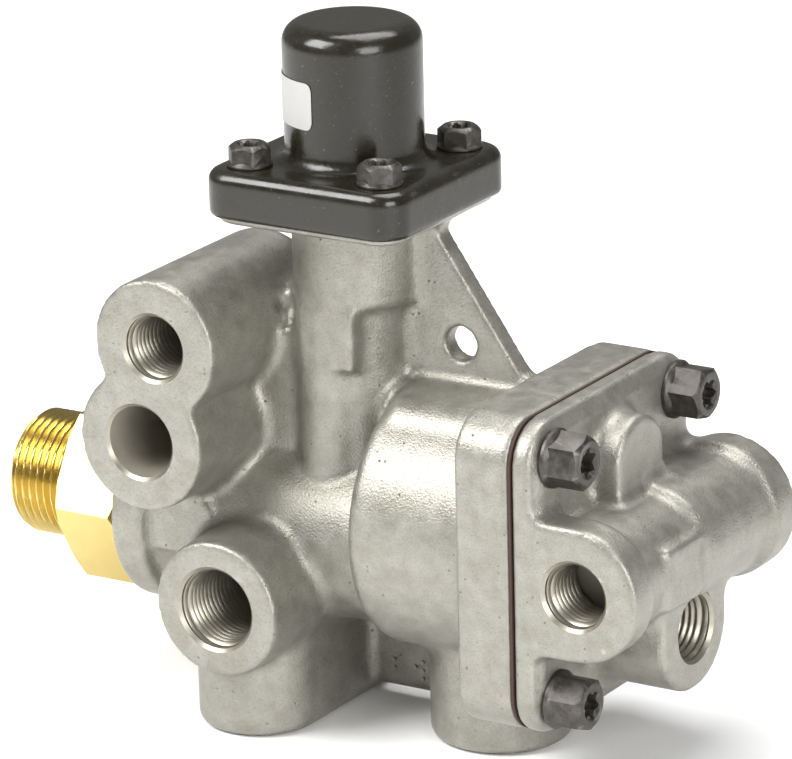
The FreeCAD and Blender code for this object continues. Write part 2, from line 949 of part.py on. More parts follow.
def control_group():
    """Control piston, inlet valve, their guide, seals and springs on the main axis."""
    disc = cylinder(
        "piston_disc",
        "piston_bore_r - slide_play",
        "piston_width",
        ("piston_rest - piston_width", 0, "axis_z"),
        "x",
    )
    disc = grooved(
        "piston_groove",
        disc,
        "piston_bore_r - slide_play",
        ("piston_rest - piston_width / 2 - ring_section - 0.2", 0, "axis_z"),
        "x",
    )
    stem = cylinder("piston_stem", "stem_r", "piston_rest - 1 - stem_tip", ("stem_tip", 0, "axis_z"), "x")
    solid = fuse("piston_blank", disc, stem)
    hole = cylinder("stem_hole", "stem_hole_r", "piston_rest - stem_tip - 6", ("stem_tip", 0, "axis_z"), "x")
    vent = cylinder(
        "stem_vent", "stem_hole_r * 0.6", "2 * stem_r + 2", ("piston_floor + 7", 0, "axis_z - stem_r - 1")
    )
    dish = cylinder("piston_dish", "piston_bore_r * 0.6", "2", ("piston_rest - 2", 0, "axis_z"), "x")
    piece(cut("piston_cut", solid, hole, vent, dish), "control_piston")
    piece(
        torus(
            "piston_ring",
            "piston_bore_r - slide_play - ring_section",
            "ring_section",
            ("piston_rest - piston_width / 2", 0, "axis_z"),
            "x",
        ),
        "control_piston_seal",
    )
    guide = fuse(
        "guide_blank",
        cylinder("guide_barrel", "guide_r", "piston_floor - guide_start", ("guide_start", 0, "axis_z"), "x"),
        cylinder(
            "guide_flange_disc",
            "guide_flange_r",
            "guide_flange",
            ("piston_floor - guide_flange", 0, "axis_z"),
            "x",
        ),
    )
    guide = cut(
        "guide_cut",
        guide,
        cylinder("guide_hole", "stem_r + slide_play", "piston_floor - guide_start + 2", ("guide_start - 1", 0, "axis_z"), "x"),
        cylinder(
            "guide_ring_room",
            "stem_r + slide_play + 2 * ring_section + 0.05",
            "2 * ring_section + 0.3",
            ("guide_start + 6", 0, "axis_z"),
            "x",
        ),
    )
    piece(guide, "stem_guide")
    piece(
        torus(
            "stem_ring",
            "stem_r + slide_play + ring_section",
            "ring_section",
            ("guide_start + 6 + ring_section + 0.15", 0, "axis_z"),
            "x",
        ),
        "stem_seal",
    )
    valve = fuse(
        "valve_blank",
        cylinder(
            "valve_disc",
            "valve_r",
            "valve_width",
            ("guide_start - slide_play - valve_width", 0, "axis_z"),
            "x",
        ),
        cylinder(
            "valve_tail",
            "valve_nose_r",
            "valve_nose",
            ("guide_start - slide_play - valve_width - valve_nose", 0, "axis_z"),
            "x",
        ),
    )
    piece(valve, "inlet_valve")
    piece(
        spring(
            "inlet_coil",
            "inlet_spring_r",
            "inlet_wire",
            4,
            "guide_start - slide_play - valve_width - chamber_start",
            ("chamber_start", "0", "axis_z"),
            "x",
        ),
        "inlet_valve_spring",
    )
    piece(
        spring(
            "return_coil",
            "return_spring_r",
            "return_wire",
            2.5,
            "piston_rest - piston_width - piston_floor",
            ("piston_floor", "0", "axis_z"),
            "x",
        ),
        "piston_return_spring",
    )


def guard_group():
    """Protection piston, its seal, spring and spring washer under the cap."""
    floor = "guard_floor + slide_play"
    disc = cylinder("guard_disc", "guard_bore_r - slide_play", "guard_height", ("column_x", 0, floor))
    disc = grooved(
        "guard_groove",
        disc,
        "guard_bore_r - slide_play",
        ("column_x", 0, floor + " + guard_height / 2 - ring_section - 0.2"),
        "z",
    )
    boss = cylinder("guard_boss", "guard_nose_r - guard_wire", "guard_nose + 1", ("column_x", 0, floor + " + guard_height - 1"))
    piece(fuse("guard_blank", disc, boss), "protection_piston")
    piece(
        torus(
            "guard_ring",
            "guard_bore_r - slide_play - ring_section",
            "ring_section",
            ("column_x", 0, floor + " + guard_height / 2"),
        ),
        "protection_seal",
    )
    top = "dome_top - dome_wall - washer_thick"
    piece(
        spring(
            "guard_coil",
            "guard_spring_r",
            "guard_wire",
            4.5,
            f"{top} - guard_floor - slide_play - guard_height",
            ("column_x", "0", floor + " + guard_height"),
            "z",
        ),
        "protection_spring",
    )
    plate = cylinder("washer_disc", "washer_r", "washer_thick", ("column_x", 0, top))
    knob = cylinder("washer_knob", "guard_nose_r - guard_wire", "2", ("column_x", 0, top + " - 2"))
    piece(fuse("washer_blank", plate, knob), "spring_washer")


def shuttle_group():
    """Shuttle, rear plug, its seal and retaining ring in the cross tube."""
    start = "shuttle_seat + slide_play"
    body = cylinder("shuttle_bar", "shuttle_r", "shuttle_width", ("tube_x", start, "axis_z"), "y")
    body = bevelled("shuttle_bevel", body, "0.8", lambda e: e.Curve.TypeId == "Part::GeomCircle")
    piece(body, "shuttle")
    plug = cylinder("plug_bar", "plug_r", f"plug_end - {PLUG_START}", ("tube_x", PLUG_START, "axis_z"), "y")
    plug = grooved("plug_groove", plug, "plug_r", ("tube_x", f"({PLUG_START} + plug_end) / 2 - ring_section - 0.2", "axis_z"), "y")
    socket = hexagon("plug_socket", "8", "6", ("tube_x", "plug_end - 5", "axis_z"), "y")
    nose = cylinder("plug_recess", "shuttle_r - 2", "8", ("tube_x", f"{PLUG_START} - 4", "axis_z"), "y")
    piece(cut("plug_cut", plug, socket, nose), "rear_plug")
    piece(
        torus(
            "plug_ring",
            "plug_r - ring_section - 0.02",
            "ring_section",
            ("tube_x", f"({PLUG_START} + plug_end) / 2", "axis_z"),
            "y",
        ),
        "rear_plug_seal",
    )
    clip = cylinder("circlip_disc", "plug_r + 1.1", "circlip_thick", ("tube_x", "plug_end + 0.05", "axis_z"), "y")
    window = cylinder("circlip_window", "plug_r - 1.8", "circlip_thick + 2", ("tube_x", "plug_end - 1", "axis_z"), "y")
    gap = box(
        "circlip_gap",
        ("5", "circlip_thick + 2", "plug_r + 3"),
        ("tube_x - 2.5", "plug_end - 1", "axis_z - plug_r - 3"),
    )
    piece(cut("circlip_cut", clip, window, gap), "retaining_ring")


def exhaust_group():
    """Rubber exhaust flap and the pin that holds it in the exhaust mouth."""
    face = "base_z + exhaust_mouth"
    flap = cylinder("flap_disc", "flap_r", "flap_thick", ("exhaust_x", 0, face + " - flap_thick - 1.5"))
    hole = cylinder("flap_hole", "flap_pin_r + 0.05", "flap_thick + 2", ("exhaust_x", 0, face + " - flap_thick - 2.5"))
    piece(cut("flap_cut", flap, hole), "exhaust_flap")
    carrier = cylinder("carrier_disc", "exhaust_mouth_r - 0.05", "1.5", ("exhaust_x", 0, face + " - 1.5"))
    pin = cylinder("carrier_pin", "flap_pin_r", "flap_thick + 2", ("exhaust_x", 0, face + " - flap_thick - 2.5"))
    head = cylinder("carrier_head", "flap_pin_r * 1.9", "1", ("exhaust_x", 0, face + " - flap_thick - 2.5"))
    solid = fuse("carrier_blank", carrier, pin, head)
    windows = []
    for number in range(4):
        slot = cylinder(
            f"carrier_window_{number + 1}",
            "1.7",
            "4",
            (
                "exhaust_x + " + ("4.4", "0", "-4.4", "0")[number],
                ("0", "4.4", "0", "-4.4")[number],
                face + " - 3",
            ),
        )
        windows.append(slot)
    piece(cut("carrier_cut", solid, *windows), "exhaust_carrier")


housing()
cap()
nipple()
cover()
gasket()
control_group()
guard_group()
shuttle_group()
exhaust_group()
doc.recompute()

faults = [thing.Name for thing in doc.Objects if {"Invalid", "Error"} & set(thing.State)]
faults += [thing.Label for thing in pieces if thing.Shape.isNull() or not thing.Shape.isValid()]
if faults:
    sys.exit("these objects failed: " + ", ".join(faults))

os.makedirs("parts", exist_ok=True)
for thing in pieces:
    thing.Shape.exportStep(os.path.join("parts", thing.Label + ".step"))
    print(thing.Label, len(thing.Shape.Solids), round(thing.Shape.Volume))
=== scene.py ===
"""Looks of a die-cast spring brake valve: castings, screws, nipple, threads, label and inner parts."""

import logging
import math
from dataclasses import dataclass, field
from enum import Enum

import bmesh
import bpy
import numpy as np
import openvdb
from mathutils import Matrix, Vector


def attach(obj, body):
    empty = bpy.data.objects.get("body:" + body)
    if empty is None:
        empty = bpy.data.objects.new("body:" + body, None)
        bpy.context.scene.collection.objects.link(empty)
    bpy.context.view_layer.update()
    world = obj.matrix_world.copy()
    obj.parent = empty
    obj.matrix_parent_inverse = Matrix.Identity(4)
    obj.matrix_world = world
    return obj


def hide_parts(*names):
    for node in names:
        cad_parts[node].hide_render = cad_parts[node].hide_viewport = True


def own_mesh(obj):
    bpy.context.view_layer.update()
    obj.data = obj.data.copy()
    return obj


logging.basicConfig(level=logging.INFO, format="%(message)s")
LOG = logging.getLogger("valve")
MM = 0.001
AXIS_Z = 6.7
FACE_Y = -34.0
CAP_SCREW_Z = 80.2
DUST_MM = 0.9


class Along(Enum):
    """The direction in which a round feature runs into the part."""

    BACK = Matrix(((1, 0, 0), (0, 0, 1), (0, -1, 0)))
    LEFT = Matrix(((0, 0, -1), (0, 1, 0), (1, 0, 0)))
    UP = Matrix.Identity(3)
    RIGHT = Matrix(((0, 0, 1), (0, 1, 0), (-1, 0, 0)))


def linear(colour: str) -> tuple[float, float, float, float]:
    """Turn an sRGB hex colour into linear light.

    Args:
        colour: Six hex digits, with or without a leading hash.

    Returns:
        Linear red, green, blue and an alpha of one.
    """
    text = colour.lstrip("#")
    values = [int(text[i : i + 2], 16) / 255 for i in (0, 2, 4)]
    lit = [v / 12.92 if v <= 0.04045 else ((v + 0.055) / 1.055) ** 2.4 for v in values]
    return (lit[0], lit[1], lit[2], 1.0)


def add_node(
    tree: bpy.types.NodeTree, kind: str, settings: dict | None = None, **inputs: object
) -> bpy.types.Node:
    """Add one shader node, set it up and link it.

    Args:
        tree: The node tree that gets the node.
        kind: The node's type name, without the ShaderNode prefix.
        settings: Attributes of the node itself.
        **inputs: Socket values or output sockets, by input name with _ for a space, or by in0, in1.

    Returns:
        The new node.
    """
    node = tree.nodes.new("ShaderNode" + kind)
    for name, value in (settings or {}).items():
        setattr(node, name, value)
    for name, value in inputs.items():
        if name.startswith("in") and name[2:].isdigit():
            socket = node.inputs[int(name[2:])]
        else:
            socket = node.inputs[name.replace("_", " ")]
        if isinstance(value, bpy.types.NodeSocket):
            tree.links.new(value, socket)
        else:
            socket.default_value = value
    return node


def ramp(
    tree: bpy.types.NodeTree, factor: bpy.types.NodeSocket, stops: list[tuple[float, str]]
) -> bpy.types.NodeSocket:
    """Turn a number into a colour through a colour ramp.

    Args:
        tree: The node tree.
        factor: The number that picks the colour.
        stops: Positions and sRGB hex colours.

    Returns:
        The ramp's colour output.
    """
    node = add_node(tree, "ValToRGB", Fac=factor)
    bar = node.color_ramp
    while len(bar.elements) < len(stops):
        bar.elements.new(0.5)
    for element, (place, colour) in zip(bar.elements, stops):
        element.position = place
        element.color = linear(colour)
    return node.outputs["Color"]


@dataclass(frozen=True)
class Finish:
    """A surface finish: a base colour with mottling, grain, pits, a lighter tone on convex edges for wear and
    painted highlight, and painted shade in concave corners.

    Sizes are in millimetres of the real surface.
    """

    name: str
    tones: tuple[str, ...]
    metallic: float
    roughness: float
    rough_spread: float
    mottle_mm: float
    grain_mm: float
    grain_depth: float
    pit_mm: float = 0.0
    pit_colour: str = "#000000"
    pit_share: float = 0.0
    specular: float = 0.5
    specks: str = ""
    fine: str = ""
    # Lighter colour on convex edges: worn corners, and on the castings a painted edge highlight.
    edge_wear_and_highlight: str = ""
    # Darker colour in concave corners: painted shade.
    painted_corner_shade: str = ""

    def material(self) -> bpy.types.Material:
        """Build the node material once and return it."""
        found = bpy.data.materials.get(self.name)
        if found:
            return found
        material = bpy.data.materials.new(self.name)
        material.use_nodes = True
        tree = material.node_tree
        shader = tree.nodes["Principled BSDF"]
        spot = add_node(tree, "TexCoord").outputs["Object"]
        mottle = add_node(
            tree, "TexNoise", Vector=spot, Scale=1 / (self.mottle_mm * MM), Detail=4.0, Roughness=0.6
        ).outputs["Fac"]
        stops = [
            (0.25 + 0.5 * i / max(len(self.tones) - 1, 1), tone) for i, tone in enumerate(self.tones)
        ]
        colour = ramp(tree, mottle, stops)
        grain = add_node(
            tree, "TexNoise", Vector=spot, Scale=1 / (self.grain_mm * MM), Detail=3.0, Roughness=0.55
        ).outputs["Fac"]
        height = grain
        if self.pit_mm:
            cells = add_node(
                tree,
                "TexVoronoi",
                {"feature": "F1"},
                Vector=spot,
                Scale=1 / (self.pit_mm * MM),
                Randomness=1.0,
            )
            chosen = add_node(
                tree,
                "Math",
                {"operation": "LESS_THAN"},
                in0=add_node(tree, "SeparateColor", Color=cells.outputs["Color"]).outputs["Red"],
                in1=self.pit_share,
            ).outputs[0]
            near = add_node(
                tree,
                "MapRange",
                Value=cells.outputs["Distance"],
                From_Min=0.06,
                From_Max=0.24,
                To_Min=1.0,
                To_Max=0.0,
            ).outputs["Result"]
            pit = add_node(tree, "Math", {"operation": "MULTIPLY"}, in0=chosen, in1=near).outputs[0]
            colour = add_node(
                tree,
                "Mix",
                {"data_type": "RGBA"},
                in0=add_node(tree, "Math", {"operation": "MULTIPLY"}, in0=pit, in1=0.6).outputs[0],
                in6=colour,
                in7=linear(self.pit_colour),
            ).outputs[2]
            height = add_node(tree, "Math", {"operation": "SUBTRACT"}, in0=grain, in1=pit).outputs[0]
        if self.fine:
            share = add_node(
                tree, "MapRange", Value=grain, From_Min=0.5, From_Max=0.3, To_Min=0.0, To_Max=0.35
            ).outputs["Result"]
            colour = add_node(
                tree, "Mix", {"data_type": "RGBA"}, in0=share, in6=colour, in7=linear(self.fine)
            ).outputs[2]
        if self.specks:
            dust = add_node(
                tree, "TexNoise", Vector=spot, Scale=1 / (DUST_MM * MM), Detail=2.0, Roughness=0.7
            ).outputs["Fac"]
            share = add_node(
                tree, "MapRange", Value=dust, From_Min=0.66, From_Max=0.76, To_Min=0.0, To_Max=0.5
            ).outputs["Result"]
            colour = add_node(
                tree, "Mix", {"data_type": "RGBA"}, in0=share, in6=colour, in7=linear(self.specks)
            ).outputs[2]
        # Lighter colour on convex edges, patchy with the mottle: worn corners on the screws, a painted highlight
        # along the cast edges.
        if self.edge_wear_and_highlight:
            edge = add_node(tree, "NewGeometry").outputs["Pointiness"]
            edge_wear_and_highlight_share = add_node(
                tree, "MapRange", Value=edge, From_Min=0.53, From_Max=0.62, To_Min=0.0, To_Max=0.8
            ).outputs["Result"]
            patchy = add_node(tree, "Math", {"operation": "MULTIPLY"}, in0=edge_wear_and_highlight_share, in1=mottle).outputs[0]
            colour = add_node(
                tree, "Mix", {"data_type": "RGBA"}, in0=patchy, in6=colour, in7=linear(self.edge_wear_and_highlight)
            ).outputs[2]
        # Painted shade: a darker colour mixed in where the surface is concave, in corners and creases where shade
        # falls.
        if self.painted_corner_shade:
            hollow = add_node(tree, "NewGeometry").outputs["Pointiness"]
            painted_shade_share = add_node(
                tree, "MapRange", Value=hollow, From_Min=0.49, From_Max=0.44, To_Min=0.0, To_Max=0.55
            ).outputs["Result"]
            colour = add_node(
                tree, "Mix", {"data_type": "RGBA"}, in0=painted_shade_share, in6=colour, in7=linear(self.painted_corner_shade)
            ).outputs[2]
        tree.links.new(colour, shader.inputs["Base Color"])
        shader.inputs["Metallic"].default_value = self.metallic
        shader.inputs["Specular IOR Level"].default_value = self.specular
        rough = add_node(
            tree,
            "MapRange",
            Value=mottle,
            From_Min=0.3,
            From_Max=0.7,
            To_Min=self.roughness - self.rough_spread,
            To_Max=self.roughness + self.rough_spread,
        ).outputs["Result"]
        tree.links.new(rough, shader.inputs["Roughness"])
        bump = add_node(tree, "Bump", Strength=1.0, Distance=self.grain_depth * MM, Height=height)
        tree.links.new(bump.outputs["Normal"], shader.inputs["Normal"])
        return material


# Die-cast aluminium, as cast and lightly blasted: a warm grey skin with fine grain and small dark pores, a painted
# highlight on its convex edges and painted shade in its concave corners.
CAST = Finish(
    "die_cast_aluminium", ("#87857a", "#95938a", "#a2a098"), 0.7, 0.4, 0.06, 4.0, 0.45, 0.13,
    pit_mm=1.3, pit_colour="#4a453d", pit_share=0.07, fine="#6b675b", edge_wear_and_highlight="#c4c1b8", painted_corner_shade="#463f33",
)
# Turned aluminium: the bright faces and bores that a tool has cut after casting.
MACHINED = Finish("machined_aluminium", ("#928e82", "#a5a195"), 0.85, 0.36, 0.06, 3.0, 0.16, 0.012)
# The dark inside of the drilled ways, with a film of oil.
BORE = Finish("drilled_bore", ("#8f8a7e", "#9c968a"), 0.2, 0.5, 0.1, 4.0, 0.5, 0.02)
# Black paint over the cast cap: a thick semi-gloss coat with dust specks and a lighter tone on its convex edges.
PAINT = Finish(
    "satin_black_paint", ("#17150c", "#201e13"), 0.0, 0.24, 0.07, 5.0, 1.4, 0.035,
    specular=0.5, specks="#6b665a", edge_wear_and_highlight="#45413a",
)
# Black oxide on steel screws: a thin dark skin, worn light on the corners.
OXIDE = Finish(
    "black_oxide_steel", ("#3b3936", "#4d4a46", "#625e58"), 0.8, 0.42, 0.1, 2.0, 0.4, 0.02, edge_wear_and_highlight="#8e8a84"
)
# Machined brass: yellow, bright, with faint tool marks.
BRASS = Finish("machined_brass", ("#c6b06c", "#d0bb79"), 1.0, 0.24, 0.04, 6.0, 0.2, 0.006)
# Paper label with a satin film, blank.
LABEL = Finish("label_paper", ("#a5a4a2", "#adacaa"), 0.0, 0.5, 0.05, 6.0, 0.6, 0.01)
# Compressed fibre gasket, dark red-brown.
FIBRE = Finish("fibre_gasket", ("#33241f", "#452f28"), 0.0, 0.8, 0.05, 3.0, 0.4, 0.02)
# Moulded nitrile rubber seals.
RUBBER = Finish("nitrile_rubber", ("#161616", "#1f1f1f"), 0.0, 0.6, 0.08, 3.0, 0.5, 0.01)
# Drawn spring steel wire.
WIRE = Finish("spring_wire", ("#77777a", "#8d8d90"), 1.0, 0.35, 0.06, 3.0, 0.3, 0.008)
# Moulded black nylon.
NYLON = Finish("black_nylon", ("#1b1b1b", "#252525"), 0.0, 0.5, 0.06, 4.0, 0.5, 0.015)


def mesh_object(name: str, mesh: bpy.types.Mesh) -> bpy.types.Object:
    """Put a mesh in the scene as an object of its own."""
    thing = bpy.data.objects.new(name, mesh)
    bpy.context.scene.collection.objects.link(thing)
    return thing


def poly_object(name: str, points: np.ndarray, faces: list) -> bpy.types.Object:
    """Make an object from points in millimetres and faces.

    Args:
        name: The object's name.
        points: One row per point.
        faces: Point numbers of each face.

    Returns:
        The object, in metres.
    """
    mesh = bpy.data.meshes.new(name)
    mesh.from_pydata((np.asarray(points, float) * MM).tolist(), [], [list(map(int, f)) for f in faces])
    work = bmesh.new()
    work.from_mesh(mesh)
    bmesh.ops.recalc_face_normals(work, faces=work.faces)
    work.to_mesh(mesh)
    work.free()
    return mesh_object(name, mesh)


def set_in(thing: bpy.types.Object, at: tuple[float, float, float], along: Along) -> None:
    """Turn and move an object's mesh from its own axis to a place on the valve.

    Args:
        thing: The object, built round the +Z axis from the origin.
        at: Where its origin goes, in millimetres.
        along: Which way its +Z axis goes.
    """
    turn = along.value.to_4x4()
    thing.data.transform(Matrix.Translation(Vector(at) * MM) @ turn)


def lathe(name: str, profile: list[tuple[float, float]], sides: int = 96) -> bpy.types.Object:
    """Turn a closed profile round the Z axis.

    Args:
        name: The object's name.
        profile: Radius and height pairs in millimetres. A radius of zero closes an end.
        sides: Steps round the axis.

    Returns:
        The turned object.
    """
    points: list[tuple[float, float, float]] = []
    rows: list[list[int]] = []
    for radius, height in profile:
        if radius < 1e-6:
            rows.append([len(points)] * sides)
            points.append((0.0, 0.0, height))
            continue
        rows.append(list(range(len(points), len(points) + sides)))
        for step in range(sides):
            turn = 2 * math.pi * step / sides
            points.append((radius * math.cos(turn), radius * math.sin(turn), height))
    faces = []
    for low, high in zip(rows, rows[1:]):
        for step in range(sides):
            after = (step + 1) % sides
            face = [low[step], low[after], high[after], high[step]]
            face = [p for i, p in enumerate(face) if p not in face[:i]]
            if len(face) > 2:
                faces.append(face)
    return poly_object(name, np.array(points), faces)


def boolean(base: bpy.types.Object, tool: bpy.types.Object, how: str) -> None:
    """Join or cut one closed mesh with another and delete the tool.

    Args:
        base: The object that is changed.
        tool: The object that is used up.
        how: UNION, DIFFERENCE or INTERSECT.
    """
    modifier = base.modifiers.new("cut", "BOOLEAN")
    modifier.operation = how
    modifier.solver = "MANIFOLD"
    modifier.object = tool
    apply_modifiers(base)
    bpy.data.objects.remove(tool)


def triangles(thing: bpy.types.Object) -> tuple[np.ndarray, np.ndarray]:
    """Read an object's mesh as points in millimetres and triangles."""
    mesh = thing.data
    mesh.calc_loop_triangles()
    points = np.empty(len(mesh.vertices) * 3)
    mesh.vertices.foreach_get("co", points)
    faces = np.empty(len(mesh.loop_triangles) * 3, np.int32)
    mesh.loop_triangles.foreach_get("vertices", faces)
    return points.reshape(-1, 3) / MM, faces.reshape(-1, 3)


def offset_mesh(
    points: np.ndarray, tris: np.ndarray, quads: np.ndarray, voxel: float, shift: float
) -> tuple[np.ndarray, np.ndarray, np.ndarray]:
    """Move a closed surface outwards by a distance, or inwards if it is negative.

    Args:
        points: Points in millimetres.
        tris: Triangles.
        quads: Quads.
        voxel: Grid step in millimetres.
        shift: The distance in millimetres.

    Returns:
        The new points, triangles and quads.
    """
    grid = openvdb.FloatGrid.createLevelSetFromPolygons(
        np.asarray(points, np.float32),
        np.asarray(tris, np.uint32),
        np.asarray(quads, np.uint32),
        openvdb.createLinearTransform(voxel),
        abs(shift) / voxel + 3.0,
    )
    return grid.convertToPolygons(float(shift), 0.0)


def level_mesh(name: str, points: np.ndarray, tris: np.ndarray, quads: np.ndarray) -> bpy.types.Mesh:
    """Make a mesh from a level set's points, triangles and quads, in millimetres."""
    corners = np.concatenate([tris.reshape(-1), quads.reshape(-1)]).astype(np.int32)
    sizes = np.concatenate([np.full(len(tris), 3), np.full(len(quads), 4)]).astype(np.int32)
    mesh = bpy.data.meshes.new(name)
    mesh.vertices.add(len(points))
    mesh.vertices.foreach_set("co", (np.asarray(points) * MM).astype(np.float32).reshape(-1))
    mesh.loops.add(len(corners))
    mesh.loops.foreach_set("vertex_index", corners)
    mesh.polygons.add(len(sizes))
    mesh.polygons.foreach_set("loop_start", np.concatenate([[0], np.cumsum(sizes)[:-1]]).astype(np.int32))
    mesh.polygons.foreach_set("loop_total", sizes)
    mesh.update(calc_edges=True)
    mesh.flip_normals()
    return mesh


def apply_modifiers(thing: bpy.types.Object) -> None:
    """Replace an object's mesh by the one its modifiers make."""
    graph = bpy.context.evaluated_depsgraph_get()
    mesh = bpy.data.meshes.new_from_object(thing.evaluated_get(graph), depsgraph=graph)
    thing.modifiers.clear()
    thing.data = mesh


def filleted(thing: bpy.types.Object, voxel: float, inner: float, outer: float, faces: int) -> None:
    """Round a cast shape: fillets in its corners and soft outer edges.

    Args:
        thing: A closed mesh, changed in place.
        voxel: Grid step in millimetres.
        inner: Fillet radius in the concave corners.
        outer: Radius on the convex edges.
        faces: The most triangles to keep.
    """
    points, tris = triangles(thing)
    quads = np.empty((0, 4), np.uint32)
    for shift in (inner, -inner - outer, outer - 0.05):
        points, tris, quads = offset_mesh(points, tris, quads, voxel, shift)
    thing.data = level_mesh(thing.name, points, tris, quads)
    thin = thing.modifiers.new("thin", "DECIMATE")
    thin.ratio = min(1.0, faces / (len(tris) + 2 * len(quads)))
    apply_modifiers(thing)


def raise_patches(thing: bpy.types.Object, prisms: list[bpy.types.Object], voxel: float, height: float) -> None:
    """Raise the skin of a casting inside some outlines by a small height.

    Args:
        thing: The casting, changed in place.
        prisms: Bars that reach through the skin where it rises. They are used up.
        voxel: Grid step in millimetres.
        height: How far the skin rises, in millimetres.
    """
    points, tris = triangles(thing)
    points, tris, quads = offset_mesh(points, tris, np.empty((0, 4)), voxel, height)
    for bar in prisms:
        lifted = mesh_object("lifted", level_mesh("lifted", points, tris, quads))
        boolean(lifted, bar, "INTERSECT")
        boolean(thing, lifted, "UNION")


def smooth(thing: bpy.types.Object, angle: float = 35.0) -> None:
    """Shade a mesh smooth, with sharp edges kept sharp."""
    for polygon in thing.data.polygons:
        polygon.use_smooth = True
    thing.data.set_sharp_from_angle(angle=math.radians(angle))


def dress(
    thing: bpy.types.Object, finish: Finish, body: str, slot: str, *more: Finish
) -> bpy.types.Object:
    """Give a piece its materials and its body.

    Args:
        thing: The piece.
        finish: Its main finish.
        body: The CAD body that it rides on.
        slot: Not used.
        *more: Further finishes, for faces that name them by number.

    Returns:
        The piece.
    """
    thing.data.materials.clear()
    for part in (finish, *more):
        thing.data.materials.append(part.material())
    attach(thing, body)
    return thing


def copy_node(node: str, name: str) -> bpy.types.Object:
    """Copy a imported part's mesh as the start of a piece that replaces it."""
    work = bmesh.new()
    work.from_mesh(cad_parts[node].data)
    bmesh.ops.remove_doubles(work, verts=work.verts, dist=1e-6)
    mesh = bpy.data.meshes.new(name)
    work.to_mesh(mesh)
    work.free()
    return mesh_object(name, mesh)


@dataclass
class Port:
    """A round way into a casting: its place, sizes in millimetres and which way it runs."""

    name: str
    at: tuple[float, float, float]
    along: Along
    radius: float
    depth: float
    pitch: float = 0.0
    plug_wall: float = 0.9
    mouth_bevel: float = 0.7

    def plug(self) -> bpy.types.Object:
        """A bar that fills the way while the casting's skin is rounded."""
        wide = self.radius + self.plug_wall
        bar = lathe("plug", [(0, -0.02), (wide, -0.02), (wide, self.depth), (0, self.depth)])
        set_in(bar, self.at, self.along)
        return bar

    def cutter(self) -> bpy.types.Object:
        """The crisp cut: a faced spot, a mouth bevel, the bore and a cone end."""
        deep = self.depth - 0.6
        tool = lathe(
            "cutter",
            [
                (0, -3),
                (self.radius + self.mouth_bevel, -3),
                (self.radius + self.mouth_bevel, 0.05),
                (self.radius, 0.75),
                (self.radius, deep),
                (0, deep + 0.5),
            ],
        )
        set_in(tool, self.at, self.along)
        return tool

    def thread(self) -> bpy.types.Object:
        """A bright helical thread that lines the bore."""
        steps = 72
        turns = (self.depth - 2.2) / self.pitch
        ridge = 0.6 * self.pitch
        points, faces = [], []
        section = [(0.0, 0.0), (-ridge, self.pitch * 0.44), (-ridge, self.pitch * 0.56), (0.0, self.pitch)]
        count = int(turns * steps)
        for step in range(count + 1):
            turn = 2 * math.pi * step / steps
            rise = self.pitch * step / steps
            for inward, up in section:
                radius = self.radius + 0.02 + inward * min(1.0, step / steps + 0.1, (count - step) / steps + 0.1)
                points.append((radius * math.cos(turn), radius * math.sin(turn), 0.7 + rise + up))
        for step in range(count):
            for side in range(3):
                a = step * 4 + side
                faces.append((a, a + 1, a + 5, a + 4))
        coil = poly_object(self.name + "_thread", np.array(points), faces)
        set_in(coil, self.at, self.along)
        return coil


